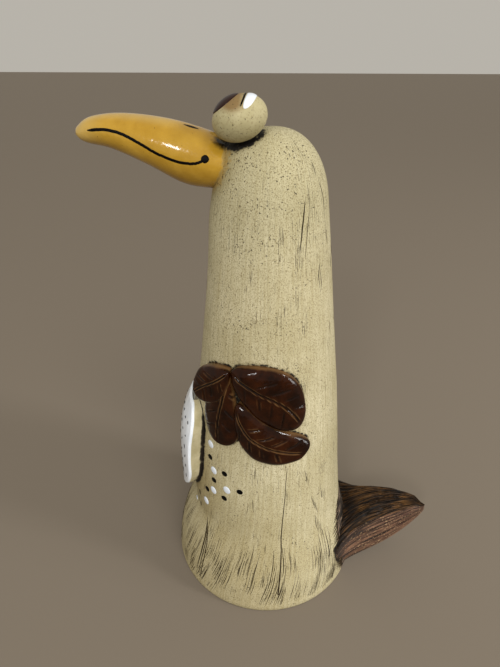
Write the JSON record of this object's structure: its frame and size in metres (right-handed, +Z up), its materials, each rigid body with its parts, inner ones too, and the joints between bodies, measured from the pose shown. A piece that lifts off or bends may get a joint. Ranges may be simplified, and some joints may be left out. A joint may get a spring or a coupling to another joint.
{
  "type": "bird figurine",
  "caption": "Hand-built ceramic bird: tall cone body on a flared foot, long yellow beak, ball eyes, brown leaf wings, chest tablet and combed tail; stands on a shelf as an ornament",
  "frame": {"origin": "middle of the flat underside of the foot", "axes": "+Z up along the body, beak along -Y, bird's left along +X"},
  "size_m": [0.1078, 0.1803, 0.26],
  "materials": {
    "cream_slip": "matt brushed slip, dark oxide in the scratches",
    "yellow_glaze": "glossy yellow glaze on the beak",
    "brown_glaze": "glossy brown glaze on the leaf feathers",
    "white_glaze": "glossy white glaze on the tablet and dots",
    "black_glaze": "glossy black glaze on eyes, mouth line and dots",
    "tail_slip": "matt combed brown slip on the tail"
  },
  "bodies": {
    "root": {"bird_figurine": "cream_slip"}
  },
  "joints": []
}
